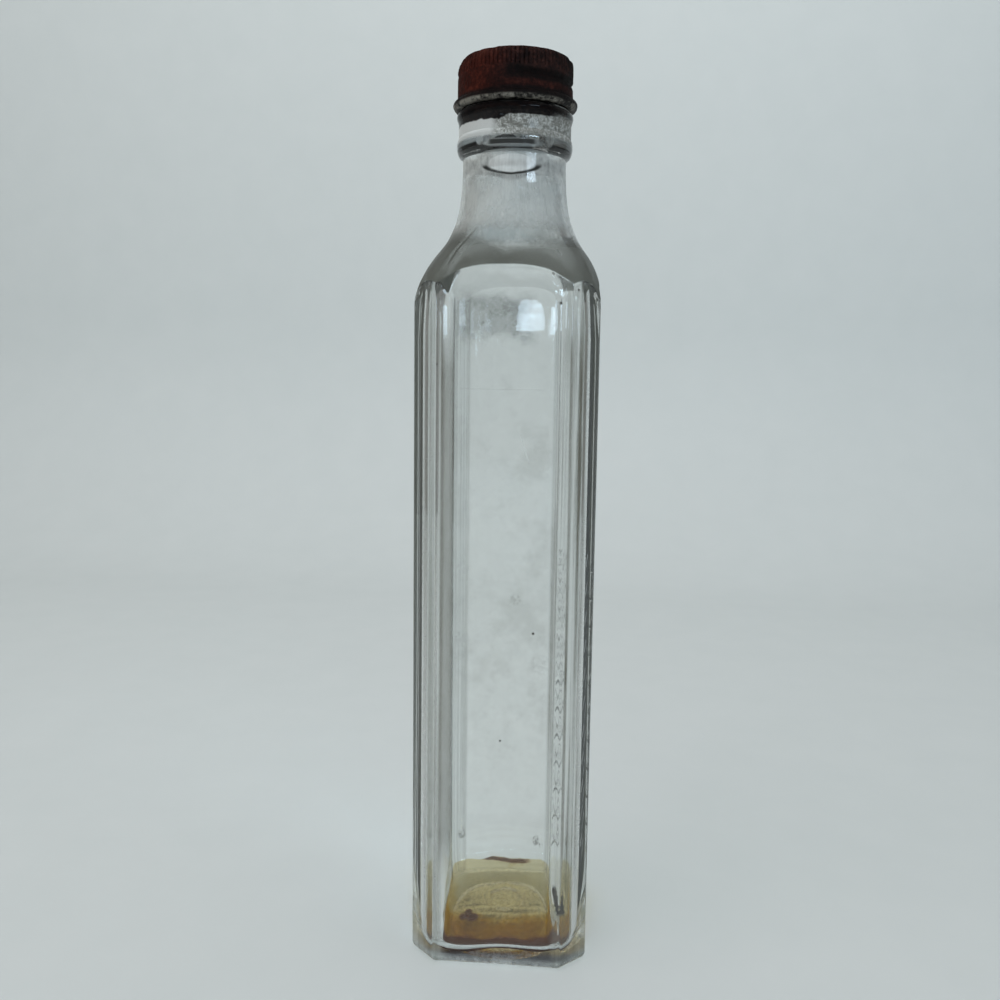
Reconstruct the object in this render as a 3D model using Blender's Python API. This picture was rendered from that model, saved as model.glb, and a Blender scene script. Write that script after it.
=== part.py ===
"""A square glass bottle with cut corners, arched panels and an embossed side, its rusty
screw cap, and the dried residue in it. Metres, +Z up, origin under the middle of the base."""

import math

import bmesh
import bpy
from mathutils import Vector

MM = 0.001

# Body, all measured over the glass
BODY_HALF = 22.75 * MM  # from the axis to a flat side
CORNER_CUT = 6.3 * MM  # what a cut corner takes off each side
PANEL_HALF = 13.3 * MM  # half the width of a sunk panel
PANEL_DEPTH = 0.4 * MM
RIB_WIDTH = 1.9 * MM  # from a panel's floor out to the crest of its side rib
PANEL_TOP_ARC = 6.5 * MM
PANEL_TOP_START = 170.3 * MM
PANEL_FOOT = (4.0 * MM, 7.5 * MM)  # where the panel's floor fades out
HEEL_RADIUS = 2.2 * MM
EDGE_SOFTNESS = 0.6 * MM

# Shoulder and neck: height and half size of the outside, sideways and from front to back.
# The front arch stands higher than the side arches.
SHOULDER_WIDTH = [
    (162.0 * MM, 24.5 * MM),
    (168.0 * MM, 23.5 * MM),
    (172.0 * MM, 22.8 * MM),
    (174.3 * MM, 22.2 * MM),
    (176.9 * MM, 21.35 * MM),
    (178.6 * MM, 20.6 * MM),
    (180.4 * MM, 19.6 * MM),
    (182.4 * MM, 18.2 * MM),
    (184.4 * MM, 16.85 * MM),
    (188.4 * MM, 15.0 * MM),
    (190.5 * MM, 14.35 * MM),
    (193.0 * MM, 13.8 * MM),
    (198.0 * MM, 13.25 * MM),
    (204.6 * MM, 13.05 * MM),
]
SHOULDER_DEPTH = [
    (162.0 * MM, 27.6 * MM),
    (168.0 * MM, 26.0 * MM),
    (173.0 * MM, 24.3 * MM),
    (176.9 * MM, 22.35 * MM),
    (180.4 * MM, 20.1 * MM),
    (184.4 * MM, 17.05 * MM),
    (188.4 * MM, 15.05 * MM),
    (190.5 * MM, 14.35 * MM),
    (193.0 * MM, 13.8 * MM),
    (198.0 * MM, 13.25 * MM),
    (204.6 * MM, 13.05 * MM),
]
SHOULDER_POWER = [  # height and squareness of the section
    (162.0 * MM, 5.0),
    (168.0 * MM, 4.6),
    (173.0 * MM, 3.9),
    (176.0 * MM, 3.2),
    (179.0 * MM, 2.6),
    (182.5 * MM, 2.2),
    (190.5 * MM, 2.0),
]
ROUND_FROM = 190.5 * MM
STRAIGHT_UP_TO = 160.0 * MM

# Finish, from the neck up to the lip
LOWER_BEAD = (207.8 * MM, 2.6 * MM, 14.65 * MM)  # middle height, half height, radius
UPPER_BEAD = (215.0 * MM, 1.4 * MM, 14.7 * MM)
BEAD_SWELL = 1.3 * MM
BAND_RADIUS = 14.2 * MM
FINISH_RADIUS = 12.75 * MM
LIP_TOP = 228.0 * MM
LIP_ARC = 1.1 * MM
BORE_RADIUS = 6.5 * MM
BORE_FOOT = 203.2 * MM
BORE_EDGE = 0.8 * MM
NECK_FLARE = [(9.0 * MM, 202.7 * MM), (9.95 * MM, 201.0 * MM), (10.1 * MM, 199.0 * MM)]

# Cavity and base
WALL = 3.15 * MM
CAVITY_SQUARENESS = 5.0
CAVITY_BLEND = 3.0 * MM  # softness of the change from wall to shoulder
CAVITY_FLOOR = 4.4 * MM
CAVITY_HEEL = (5.0 * MM, 7.5 * MM)  # across and up
HEEL_SWING = 4.5 * MM  # how much taller it is at the back, and lower in front
FLOOR_RISE = 0.9 * MM
FLOOR_TILT = 0.17  # the glass is thicker at the back
SIDE_TILT = 0.06  # and at the right
FLOOR_WAVE = 0.45 * MM
FLOOR_WAVES = 6
WAVE_TURN = math.radians(86)  # brings a crest of the wave to the front
BASE_LAND = 16.0 * MM  # radius inside which the underside is hollowed
BASE_HOLLOW = 0.8 * MM
HOLLOW_SLOPE = 2.0 * MM
BASE_RING = (4.2 * MM, 5.6 * MM, 0.35 * MM)  # inner radius, outer radius, height
RING_MIDDLE = 7.5 * MM  # the ring stands behind the middle of the base
RING_DRAFT = 0.3 * MM
RING_POINTS = 32

# Embossed lozenges on the right side panel
LOZENGES = 11
LOZENGE_FOOT = 26.0 * MM
LOZENGE_PITCH = 7.6 * MM
LOZENGE_HALF = (4.6 * MM, 3.7 * MM)  # half width across the panel, half height
LOZENGE_STROKE = 1.0 * MM
SMALL_LOZENGE = (1.5 * MM, 1.2 * MM)  # half sizes of the one inside
LOZENGE_DRAFT = 0.2 * MM
EMBOSS_HEIGHT = 0.4 * MM
EMBOSS_ROOT = 0.8 * MM

# Screw cap of pressed steel
CAP_FOOT = 216.65 * MM
CAP_TOP = 229.0 * MM
CAP_RADIUS = 14.4 * MM
CAP_BEAD_RADIUS = 15.5 * MM
CAP_BEAD_HALF = 1.25 * MM
CAP_WAIST_RADIUS = 14.1 * MM
CAP_SHEET = 0.5 * MM
CAP_CORNER = 1.5 * MM
CAP_INNER_CORNER = 1.2 * MM
CAP_SKIRT = [219.9, 220.9, 221.8, 222.5, 223.2, 224.0, 224.9, 225.9]  # heights in mm
CAP_POINTS = 48
THREAD_HEIGHT = 222.9 * MM  # middle of the rolled groove at the right-hand side
THREAD_HALF = 0.9 * MM
THREAD_DEPTH = 0.65 * MM
THREAD_LEAD = 3.4 * MM
THREAD_START = math.radians(-100)
THREAD_END = math.radians(200)
THREAD_FADE = math.radians(35)

# Dried residue on the floor of the cavity
RESIDUE_GAP = 0.32 * MM
RESIDUE_MIDDLE = 0.5 * MM
RESIDUE_EDGE = 1.6 * MM
RESIDUE_RIM = 0.5 * MM
RESIDUE_REACH = 62  # degrees round the corner between floor and wall; 90 is the floor
RESIDUE_SHARES = (0.35, 0.65, 0.85)
RESIDUE_POINTS = 40

FACE_STEPS = [0.0, 4.6 * MM, 9.2 * MM]
CHAMFER_DISTANCE = (2 * BODY_HALF - CORNER_CUT) / math.sqrt(2)
CORNER_OFFSET = BODY_HALF - CORNER_CUT


def mix(a, b, t):
    return a + (b - a) * t


def smooth(low, high, x):
    t = min(max((x - low) / (high - low), 0.0), 1.0)
    return t * t * (3 - 2 * t)


def soft_min(a, b, width):
    h = max(width - abs(a - b), 0.0) / width
    return min(a, b) - h * h * width / 4


def curve_value(curve, x):
    """A smooth curve through (x, value) points, with each slope read from its neighbours."""
    xs = [p[0] for p in curve]
    ys = [p[1] for p in curve]
    if x <= xs[0]:
        return ys[0] + (ys[1] - ys[0]) / (xs[1] - xs[0]) * (x - xs[0])
    if x >= xs[-1]:
        return ys[-1]
    i = max(k for k in range(len(xs) - 1) if xs[k] <= x)

    def slope(k):
        a, b = max(k - 1, 0), min(k + 1, len(xs) - 1)
        return (ys[b] - ys[a]) / (xs[b] - xs[a])

    span = xs[i + 1] - xs[i]
    t = (x - xs[i]) / span
    return (
        (2 * t**3 - 3 * t**2 + 1) * ys[i]
        + (t**3 - 2 * t**2 + t) * span * slope(i)
        + (3 * t**2 - 2 * t**3) * ys[i + 1]
        + (t**3 - t**2) * span * slope(i + 1)
    )


def superellipse(wide, deep, power, angle):
    c, s = abs(math.cos(angle)) / wide, abs(math.sin(angle)) / deep
    return 1 / (c**power + s**power) ** (1 / power)


def panel_sink(offset, z):
    """How far the panel's floor lies below the flat side, at an offset from its middle."""
    half = PANEL_HALF
    rise = z - PANEL_TOP_START
    if rise > 0:
        reach = min(rise, PANEL_TOP_ARC)
        half += math.sqrt(PANEL_TOP_ARC**2 - reach**2) - PANEL_TOP_ARC
    across = 1 - smooth(half, half + RIB_WIDTH, abs(offset))
    return PANEL_DEPTH * across * smooth(PANEL_FOOT[0], PANEL_FOOT[1], z)


def prism_radius(angle, z):
    """Distance from the axis to the eight-sided body, with its panels."""
    turn = math.pi / 2
    near = angle - turn * round(angle / turn)
    flat = (BODY_HALF - panel_sink(BODY_HALF * math.tan(near), z)) / math.cos(near)
    cut = CHAMFER_DISTANCE / math.cos(abs(near) - math.pi / 4)
    return soft_min(flat, cut, EDGE_SOFTNESS)


def dome_radius(angle, z, inset=0.0):
    """Distance from the axis to the shoulder and neck, square below and round above."""
    wide = curve_value(SHOULDER_WIDTH, z) - inset
    deep = curve_value(SHOULDER_DEPTH, z) - inset
    return superellipse(wide, deep, curve_value(SHOULDER_POWER, z), angle)


def outer_radius(angle, z):
    if z >= ROUND_FROM:
        return curve_value(SHOULDER_WIDTH, z)
    prism = prism_radius(angle, z)
    if z < HEEL_RADIUS:
        prism -= HEEL_RADIUS - math.sqrt(HEEL_RADIUS**2 - (HEEL_RADIUS - z) ** 2)
    if z <= STRAIGHT_UP_TO:
        return prism
    return soft_min(prism, dome_radius(angle, z), EDGE_SOFTNESS)


def arch_height(angle):
    """Where the shoulder meets the flat side or cut corner at this angle."""
    low, high = STRAIGHT_UP_TO, ROUND_FROM
    for _ in range(30):
        z = (low + high) / 2
        if dome_radius(angle, z) > prism_radius(angle, z):
            low = z
        else:
            high = z
    return low


def cavity_radius(angle, z):
    half = BODY_HALF - WALL
    body = superellipse(half, half, CAVITY_SQUARENESS, angle)
    if z <= STRAIGHT_UP_TO:
        return body
    return soft_min(body, dome_radius(angle, z, WALL), CAVITY_BLEND)


def bottle_angles():
    """Angles round the bottle, closer together at the ribs and corners."""
    ribs = [PANEL_HALF, PANEL_HALF + RIB_WIDTH / 2, PANEL_HALF + RIB_WIDTH, CORNER_OFFSET]
    offsets = FACE_STEPS + ribs
    steps = [math.atan2(s, BODY_HALF) for s in offsets]
    quarter = [-a for a in reversed(steps[1:])] + steps + [math.pi / 4]
    return [math.pi / 2 * k + a for k in range(4) for a in quarter]


def ring(angles, radius, height):
    """A closed ring of points; radius and height are numbers or functions of the angle."""
    points = []
    for a in angles:
        z = height(a) if callable(height) else height
        r = radius(a, z) if callable(radius) else radius
        points.append(Vector((r * math.cos(a), r * math.sin(a), z)))
    return points


def arc(r_middle, z_middle, r_half, z_half, start, end, steps):
    """Points (radius, height) along part of an ellipse, angles in degrees."""
    points = []
    for k in range(steps + 1):
        a = math.radians(mix(start, end, k / steps))
        points.append((r_middle + r_half * math.cos(a), z_middle + z_half * math.sin(a)))
    return points


def shell(name, rings, first_pole, last_pole, material):
    """One closed body from rings in order, with a pole point at each end."""
    mesh = bmesh.new()
    count = len(rings[0])
    rows = [[mesh.verts.new(p) for p in r] for r in rings]
    first = mesh.verts.new(first_pole)
    last = mesh.verts.new(last_pole)
    for k in range(count):
        n = (k + 1) % count
        mesh.faces.new((first, rows[0][n], rows[0][k]))
        for low, high in zip(rows, rows[1:]):
            mesh.faces.new((low[k], low[n], high[n], high[k]))
        mesh.faces.new((rows[-1][k], rows[-1][n], last))
    return finish(name, mesh, material)


def finish(name, mesh, material):
    mesh.normal_update()
    data = bpy.data.meshes.new(name)
    mesh.to_mesh(data)
    mesh.free()
    data.shade_smooth()
    data.set_sharp_from_angle(angle=math.radians(35))
    data.materials.append(material)
    piece = bpy.data.objects.new(name, data)
    bpy.context.collection.objects.link(piece)
    return piece


def make_material(name, colour, roughness, metallic=0.0, clearness=0.0):
    material = bpy.data.materials.new(name)
    material.use_nodes = True
    shader = material.node_tree.nodes["Principled BSDF"]
    shader.inputs["Base Color"].default_value = (*colour, 1.0)
    shader.inputs["Roughness"].default_value = roughness
    shader.inputs["Metallic"].default_value = metallic
    shader.inputs["Transmission Weight"].default_value = clearness
    return material


def floor_height(angle, radius):
    """Floor of the cavity: domed in the middle, wavy round the edge, and tilted."""
    reach = min(radius / (BODY_HALF - WALL), 1.0)
    wave = FLOOR_WAVE * reach**2 * math.cos(FLOOR_WAVES * (angle + WAVE_TURN))
    tilt = radius * (FLOOR_TILT * math.sin(angle) + SIDE_TILT * math.cos(angle))
    return CAVITY_FLOOR + FLOOR_RISE * (1 - reach**2) + wave + tilt


def cavity_heel(angle, degrees):
    """A point (radius, height) on the round corner between cavity floor and wall."""
    a = math.radians(degrees)
    across, up = CAVITY_HEEL
    up += HEEL_SWING * math.sin(angle)
    wall = cavity_radius(angle, CAVITY_FLOOR)
    base = floor_height(angle, wall - across)
    return wall - across + across * math.cos(a), base + up * (1 - math.sin(a))


def underside_rings(angles):
    hollow = [
        (BASE_LAND / 2, BASE_HOLLOW),
        (BASE_LAND - HOLLOW_SLOPE, BASE_HOLLOW),
        (BASE_LAND, 0.0),
    ]
    return [ring(angles, r, z) for r, z in hollow]


def body_rings(angles):
    heel = [HEEL_RADIUS * (1 - math.cos(math.radians(a))) for a in (0, 30, 60, 90)]
    levels = heel + [PANEL_FOOT[0], PANEL_FOOT[1], 60 * MM, 112 * MM, STRAIGHT_UP_TO]
    rings = [ring(angles, outer_radius, z) for z in levels]
    for part in (0.55, 0.85, 1.0):
        rings.append(ring(angles, outer_radius, lambda a: mix(STRAIGHT_UP_TO, arch_height(a), part)))
    for part in (0.07, 0.17, 0.29, 0.42, 0.56, 0.72, 0.87, 1.0):
        rings.append(ring(angles, outer_radius, lambda a: mix(arch_height(a), ROUND_FROM, part)))
    rings += [ring(angles, outer_radius, z) for z in (194 * MM, 199 * MM, 204.6 * MM)]
    return rings


def finish_rings(angles):
    z, half, radius = LOWER_BEAD
    profile = arc(radius - BEAD_SWELL, z, BEAD_SWELL, half, -80, 65, 5)
    z, half, radius = UPPER_BEAD
    profile += [(BAND_RADIUS, z - 2 * half)]
    profile += arc(radius - BEAD_SWELL, z, BEAD_SWELL, half, -20, 90, 4)
    profile += [(FINISH_RADIUS, z + half)]
    profile += arc(FINISH_RADIUS - LIP_ARC, LIP_TOP - LIP_ARC, LIP_ARC, LIP_ARC, 0, 90, 3)
    profile += arc(BORE_RADIUS + LIP_ARC, LIP_TOP - LIP_ARC, LIP_ARC, LIP_ARC, 90, 180, 3)
    middle = BORE_RADIUS + BORE_EDGE
    profile += arc(middle, BORE_FOOT + BORE_EDGE, BORE_EDGE, BORE_EDGE, 180, 250, 2)
    profile += NECK_FLARE
    return [ring(angles, r, z) for r, z in profile]


def cavity_rings(angles):
    levels = [195, 191, 187.5, 184.5, 181.5, 178.5, 175, 171, 166, 160, 100, 30]
    rings = [ring(angles, cavity_radius, z * MM) for z in levels]
    for degrees in (0, 30, 60, 90):
        corner = [cavity_heel(a, degrees) for a in angles]
        rings.append([Vector((r * math.cos(a), r * math.sin(a), z)) for a, (r, z) in zip(angles, corner)])
    for radius in (10 * MM, 4 * MM):
        rings.append(ring(angles, radius, lambda a: floor_height(a, radius)))
    return rings


def frustum_loops(mesh, loops, closed_inside):
    """Walls between loops of points, and a floor and a lid where the shape has no hole."""
    rows = [[mesh.verts.new(p) for p in loop] for loop in loops]
    count = len(rows[0])
    pairs = list(zip(rows, rows[1:]))
    if not closed_inside:
        pairs.append((rows[-1], rows[0]))
    for low, high in pairs:
        for k in range(count):
            n = (k + 1) % count
            mesh.faces.new((low[k], low[n], high[n], high[k]))
    if closed_inside:
        mesh.faces.new(list(reversed(rows[0])))
        mesh.faces.new(rows[-1])


def lozenge(middle, half_width, half_height, depth):
    """Four corners of a lozenge, at a depth out from the panel's floor."""
    corners = ((half_width, 0), (0, half_height), (-half_width, 0), (0, -half_height))
    return [Vector((depth, y, middle + z)) for y, z in corners]


def add_base_ring(mesh):
    """The plain ring that stands down from the hollow of the underside."""
    inner, outer, height = BASE_RING
    root, tip = BASE_HOLLOW + EMBOSS_ROOT, BASE_HOLLOW - height
    turns = [2 * math.pi * k / RING_POINTS for k in range(RING_POINTS)]
    profile = [(outer + RING_DRAFT, root), (outer, tip), (inner, tip), (inner - RING_DRAFT, root)]
    loops = []
    for radius, z in profile:
        loops.append([Vector((radius * math.cos(a), RING_MIDDLE + radius * math.sin(a), z)) for a in turns])
    frustum_loops(mesh, loops, closed_inside=False)


def make_embossing(material):
    """A chain of open lozenges, each with a small one inside, on the right side panel,
    and the ring under the base."""
    mesh = bmesh.new()
    add_base_ring(mesh)
    floor = BODY_HALF - PANEL_DEPTH
    root, top = floor - EMBOSS_ROOT, floor + EMBOSS_HEIGHT
    wide, tall = LOZENGE_HALF
    small_wide, small_tall = SMALL_LOZENGE
    slim, draft = LOZENGE_STROKE, LOZENGE_DRAFT
    for k in range(LOZENGES):
        z = LOZENGE_FOOT + k * LOZENGE_PITCH
        frustum_loops(
            mesh,
            [
                lozenge(z, wide, tall, root),
                lozenge(z, wide - draft, tall - draft, top),
                lozenge(z, wide - slim, tall - slim, top),
                lozenge(z, wide - slim - draft, tall - slim - draft, root),
            ],
            closed_inside=False,
        )
        frustum_loops(
            mesh,
            [
                lozenge(z, small_wide, small_tall, root),
                lozenge(z, small_wide - draft, small_tall - draft, top),
            ],
            closed_inside=True,
        )
    bmesh.ops.recalc_face_normals(mesh, faces=mesh.faces[:])
    piece = finish("embossing_cutter", mesh, material)
    piece.hide_render = True
    piece.display_type = "WIRE"
    return piece


def make_bottle():
    glass = make_material("clear_glass", (0.86, 0.9, 0.88), 0.03, clearness=1.0)
    angles = bottle_angles()
    rings = underside_rings(angles) + body_rings(angles) + finish_rings(angles) + cavity_rings(angles)
    floor_middle = (0, 0, floor_height(0.0, 0.0))
    bottle = shell("bottle", rings, (0, 0, BASE_HOLLOW), floor_middle, glass)
    join = bottle.modifiers.new("embossing", "BOOLEAN")
    join.operation = "UNION"
    join.solver = "EXACT"
    join.object = make_embossing(glass)
    return bottle


def groove_depth(angle, z):
    """Depth of the thread rolled into the cap's skirt."""
    a = math.remainder(angle, 2 * math.pi)
    if a < THREAD_START:
        a += 2 * math.pi
    lift = THREAD_LEAD * max(a, 0.0) / (2 * math.pi)
    fade = smooth(THREAD_START, THREAD_START + THREAD_FADE, a)
    fade *= 1 - smooth(THREAD_END - THREAD_FADE, THREAD_END, a)
    away = abs(z - THREAD_HEIGHT - lift) / THREAD_HALF
    return THREAD_DEPTH * fade * (1 - smooth(0.0, 1.3, away))


def make_cap():
    steel = make_material("rusty_steel", (0.045, 0.018, 0.014), 0.75, metallic=0.3)
    angles = [2 * math.pi * k / CAP_POINTS for k in range(CAP_POINTS)]
    bead_z = CAP_FOOT + CAP_BEAD_HALF
    swell = CAP_BEAD_RADIUS - CAP_WAIST_RADIUS
    bead = arc(CAP_WAIST_RADIUS, bead_z, swell, CAP_BEAD_HALF, -80, 75, 5)
    skirt = [(CAP_RADIUS, z * MM) for z in CAP_SKIRT]
    corner = arc(CAP_RADIUS - CAP_CORNER, CAP_TOP - CAP_CORNER, CAP_CORNER, CAP_CORNER, 0, 85, 3)
    outside = bead + skirt + corner

    def pressed(points):
        return [ring(angles, lambda a, h, r=r: r - groove_depth(a, h), z) for r, z in points]

    plain = CAP_RADIUS - CAP_SHEET
    inside = [(plain, z) for r, z in reversed(skirt)]
    roof = CAP_TOP - CAP_SHEET
    under = [(plain - CAP_INNER_CORNER, roof), (plain, roof - CAP_INNER_CORNER)]
    waist = CAP_WAIST_RADIUS - CAP_SHEET
    foot = [(waist, bead_z), (waist, CAP_FOOT + 0.2 * MM)]
    rings = [ring(angles, r, z) for r, z in under]
    rings += pressed(inside)
    rings += [ring(angles, r, z) for r, z in foot]
    rings += pressed(outside)
    return shell("cap", rings, (0, 0, roof), (0, 0, CAP_TOP), steel)


def make_residue():
    amber = make_material("dried_residue", (0.16, 0.05, 0.008), 0.45)
    angles = [2 * math.pi * k / RESIDUE_POINTS for k in range(RESIDUE_POINTS)]

    def layer(share, lift):
        points = []
        for a in angles:
            r = cavity_heel(a, RESIDUE_REACH)[0] * share
            points.append(Vector((r * math.cos(a), r * math.sin(a), floor_height(a, r) + lift)))
        return points

    def rim(lift):
        points = []
        for a in angles:
            r, z = cavity_heel(a, RESIDUE_REACH)
            r -= RESIDUE_GAP
            points.append(Vector((r * math.cos(a), r * math.sin(a), z + lift)))
        return points

    rings = [layer(s, RESIDUE_GAP) for s in RESIDUE_SHARES]
    rings += [rim(RESIDUE_GAP), rim(RESIDUE_GAP + RESIDUE_RIM)]
    for s in reversed(RESIDUE_SHARES):
        rings.append(layer(s, RESIDUE_GAP + mix(RESIDUE_MIDDLE, RESIDUE_EDGE, s**3)))
    middle = floor_height(0.0, 0.0) + RESIDUE_GAP
    low, high = (0, 0, middle), (0, 0, middle + RESIDUE_MIDDLE)
    return shell("residue", rings, low, high, amber)


def main():
    for old in list(bpy.data.objects):
        bpy.data.objects.remove(old, do_unlink=True)
    make_bottle()
    make_cap()
    make_residue()


main()
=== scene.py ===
"""Looks for the square embossed glass bottle: its clear old glass, rusty screw cap and
dried amber residue. Metres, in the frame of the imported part."""

import math

import bmesh
import bpy
import numpy as np
from mathutils import Matrix, Vector, noise


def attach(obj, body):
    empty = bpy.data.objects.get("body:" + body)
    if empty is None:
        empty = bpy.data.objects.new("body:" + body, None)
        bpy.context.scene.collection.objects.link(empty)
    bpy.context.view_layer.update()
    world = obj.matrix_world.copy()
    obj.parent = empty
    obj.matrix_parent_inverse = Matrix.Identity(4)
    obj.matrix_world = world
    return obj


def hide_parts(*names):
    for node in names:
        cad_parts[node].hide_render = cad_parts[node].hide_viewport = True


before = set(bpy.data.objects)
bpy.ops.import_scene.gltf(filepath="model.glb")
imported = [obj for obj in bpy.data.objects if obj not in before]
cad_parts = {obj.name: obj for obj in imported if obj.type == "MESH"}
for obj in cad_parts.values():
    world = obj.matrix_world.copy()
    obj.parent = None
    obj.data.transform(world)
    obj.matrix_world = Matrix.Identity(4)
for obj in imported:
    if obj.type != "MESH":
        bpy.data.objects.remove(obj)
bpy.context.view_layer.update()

MM = 0.001

# Body of the bottle, measured over the glass
BODY_HALF = 22.75 * MM
CORNER_CUT = 6.3 * MM
PANEL_HALF = 13.3 * MM
PANEL_DEPTH = 0.4 * MM
RIB_WIDTH = 1.9 * MM
PANEL_TOP_ARC = 6.5 * MM
PANEL_TOP_START = 170.3 * MM
PANEL_FOOT = (4.0 * MM, 7.5 * MM)
HEEL_RADIUS = 2.2 * MM
EDGE_SOFTNESS = 0.35 * MM
CHAMFER_DISTANCE = (2 * BODY_HALF - CORNER_CUT) / math.sqrt(2)

# Shoulder and neck: height and half size of the outside, sideways and from front to back.
# The front arch stands higher than the side arches.
SHOULDER_WIDTH = [
    (162.0 * MM, 24.5 * MM),
    (168.0 * MM, 23.5 * MM),
    (172.0 * MM, 22.8 * MM),
    (174.3 * MM, 22.2 * MM),
    (176.9 * MM, 21.35 * MM),
    (178.6 * MM, 20.6 * MM),
    (180.4 * MM, 19.6 * MM),
    (182.4 * MM, 18.2 * MM),
    (184.4 * MM, 16.85 * MM),
    (188.4 * MM, 15.0 * MM),
    (190.5 * MM, 14.35 * MM),
    (193.0 * MM, 13.8 * MM),
    (198.0 * MM, 13.25 * MM),
    (204.6 * MM, 13.05 * MM),
]
SHOULDER_DEPTH = [
    (162.0 * MM, 27.6 * MM),
    (168.0 * MM, 26.0 * MM),
    (173.0 * MM, 24.3 * MM),
    (176.9 * MM, 22.35 * MM),
    (180.4 * MM, 20.1 * MM),
    (184.4 * MM, 17.05 * MM),
    (188.4 * MM, 15.05 * MM),
    (190.5 * MM, 14.35 * MM),
    (193.0 * MM, 13.8 * MM),
    (198.0 * MM, 13.25 * MM),
    (204.6 * MM, 13.05 * MM),
]
SHOULDER_POWER = [  # height and squareness of the section
    (162.0 * MM, 5.0),
    (168.0 * MM, 4.6),
    (173.0 * MM, 3.9),
    (176.0 * MM, 3.2),
    (179.0 * MM, 2.6),
    (182.5 * MM, 2.2),
    (190.5 * MM, 2.0),
]
ROUND_FROM = 190.5 * MM
STRAIGHT_UP_TO = 160.0 * MM

# Finish of the neck
LOWER_BEAD = (207.8 * MM, 2.6 * MM, 14.65 * MM)
UPPER_BEAD = (215.0 * MM, 1.4 * MM, 14.7 * MM)
BEAD_SWELL = 1.3 * MM
BAND_RADIUS = 14.2 * MM
FINISH_RADIUS = 12.75 * MM
LIP_TOP = 228.0 * MM
LIP_ARC = 1.1 * MM
BORE_RADIUS = 6.5 * MM
BORE_FOOT = 203.2 * MM
BORE_EDGE = 0.8 * MM
BORE_FROM = 204 * MM  # above this height the inside is the bore
NECK_FLARE = [(202.95, 7.9), (202.7, 9.0), (202.1, 9.65), (201.0, 9.95), (199.0, 10.1)]

# Cavity and base
WALL = 3.15 * MM
CAVITY_SQUARENESS = 5.0
CAVITY_BLEND = 3 * MM
CAVITY_FLOOR = 4.4 * MM
CAVITY_HEEL = (5.0 * MM, 7.5 * MM)
HEEL_SWING = 4.5 * MM
HEEL_WRINKLES = [(14, 4, 0.16 * MM), (5, 2, 0.14 * MM)]  # degrees up the heel, spread, depth
FLOOR_RISE = 0.9 * MM
FLOOR_TILT = 0.17
SIDE_TILT = 0.06
FLOOR_WAVE = 0.45 * MM
FLOOR_WAVES = 6
WAVE_TURN = math.radians(86)
CREASE_MIDDLE = -3 * MM
CREASE_SPREAD = 5 * MM
CREASE_DEPTH = 0.09 * MM
CREASE_STEP = 0.42 * MM
BASE_LAND = 16.0 * MM
BASE_HOLLOW = 0.8 * MM
HOLLOW_SLOPE = 2.0 * MM
BASE_RING = (4.2 * MM, 5.6 * MM, 0.35 * MM)
RING_MIDDLE = 7.5 * MM
RING_SLOPE = 0.35 * MM

# The mould's seam up the front left of the shoulder: height and angle
SEAM_LINE = [
    (172 * MM, math.radians(-123)),
    (177 * MM, math.radians(-125)),
    (180.5 * MM, math.radians(-126.5)),
    (183.5 * MM, math.radians(-125.5)),
    (186.4 * MM, math.radians(-120.4)),
    (189 * MM, math.radians(-113)),
]
SEAM_HALF = 0.45 * MM
SEAM_HEIGHT = 0.2 * MM
SEAM_ENDS = (176 * MM, 179 * MM, 186 * MM, 189 * MM)  # it rises and fades between these

# Small marks in and on the glass: x, y, z and radius in mm
SEEDS = [
    (13.4, -22.5, 167.9, 0.42),
    (17.5, -21.7, 171.0, 0.36),
    (19.0, -20.2, 168.6, 0.36),
    (-16.0, -22.6, 153.3, 0.36),
    (8.2, -22.4, 88.0, 0.42),
    (0.4, -22.4, 60.3, 0.32),
]
HAZES = [
    (-11.1, -22.4, 143.5, 1.3),
    (-9.5, -22.4, 86.0, 2.6),
    (3.6, -22.4, 96.3, 1.8),
    (10.0, -22.4, 80.2, 3.2),
    (-9.0, -22.4, 104.0, 2.2),
]
FAR_SPOTS = [(-15.7, 18.6, 16.6, 2.2), (9.1, 19.5, 15.2, 1.9), (11.5, 19.5, 14.0, 1.4)]
FILM_SPOTS = [(-8.2, -5.4, 4.0, 2.2), (-11.0, -5.0, 4.0, 1.8), (-9.6, -3.2, 4.4, 1.5)]

# Larger marks on the glass, some of them painted light and shade: from and to, up the bottle or across it
NECK_DUST_UP = (186.0 * MM, 200.0 * MM)
NECK_SKIN_UP = (186.0 * MM, 204.5 * MM)
NECK_SMEAR_UP = (199.5 * MM, 204.8 * MM)
# The lens: a painted highlight where the foot of the bore shows through, painted shade on its rim, and
# painted shade on the ledge inside
LENS_MIDDLE = (0.3 * MM, 202.0 * MM)
LENS_HALF = (6.1 * MM, 2.3 * MM)
LEDGE_SHADE_UP = (201.6 * MM, 203.2 * MM)
BORE_UP = (203.6 * MM, 208.8 * MM)
# The painted shade over the shoulder: where it fades at the top, where its grey tone fades, and its notch
SHOULDER_FADE = (178.7 * MM, 183.7 * MM)
GREY_TONE_FADE = (182.5 * MM, 192.5 * MM)
NOTCH_AT, NOTCH_HALF, NOTCH_DROP = -121, 2.0, 4.0  # the notch of the painted shoulder shade: degrees, degrees and mm
# Painted shade of the cap's dark underside, on the glass just below the cap
CAP_SHADE_UP = (212.2 * MM, 217.2 * MM)
CAP_SHADE_STEP = 1.2 * MM  # how much higher its foot is at the right
CAP_SHADE_END = (9.5 * MM, 12.5 * MM)
BAND_UP = (208.3 * MM, 214.0 * MM)
BAND_SPECKLED_FROM = (-6.0 * MM, -1.0 * MM)
# Painted shade on the lower half of the lower bead, at the front
LOW_BEAD_SHADE_UP = (206.1 * MM, 207.3 * MM)
LOW_BEAD_SHADE_ACROSS = (-5.5 * MM, 6.5 * MM)
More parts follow.
